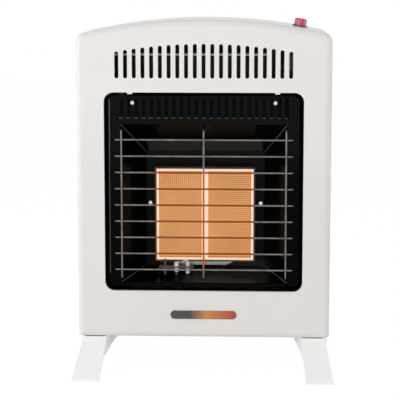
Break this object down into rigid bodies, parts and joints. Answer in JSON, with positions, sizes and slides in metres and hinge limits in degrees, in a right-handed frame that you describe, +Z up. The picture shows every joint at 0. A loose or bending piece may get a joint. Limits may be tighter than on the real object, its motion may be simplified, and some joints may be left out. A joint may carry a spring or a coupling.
{
  "type": "gas space heater",
  "caption": "Infrared gas heater with an arched white cabinet, black reflector, glowing ceramic plaques, wire guard, red top knob, wall keyholes and bent-sheet feet.",
  "frame": {"origin": "on the floor under the middle of the cabinet, in the plane of the feet", "axes": "+X to the right seen from the front, +Y to the back (towards the wall), +Z up"},
  "size_m": [0.3618, 0.254, 0.4962],
  "materials": {
    "white_enamel": "smooth off-white powder coat",
    "zinc_sheet": "plain zinc-coated sheet",
    "black_enamel": "glossy black enamel",
    "glowing_ceramic": "perforated ceramic, alight",
    "fibre_gasket": "pressed fibre",
    "frame_steel": "heat-darkened steel",
    "guard_wire": "dull drawn wire",
    "screw_steel": "bright zinc",
    "white_screw": "painted white",
    "tube_aluminium": "drawn and cast, satin",
    "brass": "turned",
    "copper_lead": "bare copper",
    "electrode_ceramic": "glazed sleeve",
    "lead_sleeve": "heat-proof sleeve",
    "collar_plastic": "dark",
    "red_plastic": "glossy red",
    "badge_plastic": "plain dark pill, no lettering"
  },
  "bodies": {
    "heater": {"front_cover": "white_enamel", "left_foot": "white_enamel", "right_foot": "white_enamel", "back_panel": "zinc_sheet", "bottom_panel": "zinc_sheet", "side_rail_left": "zinc_sheet", "side_rail_right": "zinc_sheet", "heat_baffle": "zinc_sheet", "injector_bracket": "zinc_sheet", "valve_bracket": "zinc_sheet", "pilot_bracket": "zinc_sheet", "burner_box": "zinc_sheet", "reflector_surround": "black_enamel", "reflector_top": "black_enamel", "reflector_bottom": "black_enamel", "reflector_left": "black_enamel", "reflector_right": "black_enamel", "burner_crossmember": "black_enamel", "ceramic_tile_left": "glowing_ceramic", "ceramic_tile_right": "glowing_ceramic", "tile_gasket": "fibre_gasket", "tile_retaining_frame": "frame_steel", "wire_guard": "guard_wire", "burner_screws": "screw_steel", "cover_screws": "screw_steel", "foot_screws": "screw_steel", "surround_screws": "white_screw", "burner_supply_tube": "tube_aluminium", "inlet_tube": "tube_aluminium", "pilot_tube": "tube_aluminium", "mixing_tube": "tube_aluminium", "gas_valve_body": "tube_aluminium", "injector": "brass", "gas_inlet_fitting": "brass", "pilot_burner": "brass", "thermocouple_lead": "copper_lead", "thermocouple": "copper_lead", "ignition_electrode": "electrode_ceramic", "ignition_lead": "lead_sleeve", "knob_collar": "collar_plastic", "badge_plate": "badge_plastic"},
    "plug": {"valve_plug": "brass"},
    "control": {"valve_stem": "brass", "control_knob": "red_plastic"}
  },
  "joints": [
    {"name": "knob_turn", "type": "hinge", "parent": "heater", "child": "plug", "pos_m": [0.132, 0, 0.48375], "axis": [0.1692, 0, 0.9856], "range_deg": [0, 180]},
    {"name": "knob_press", "type": "slide", "parent": "plug", "child": "control", "axis": [0.1692, 0, 0.9856], "range_m": [-0.004, 0], "stiffness_N_per_m": 400, "springref_m": 0.003}
  ]
}
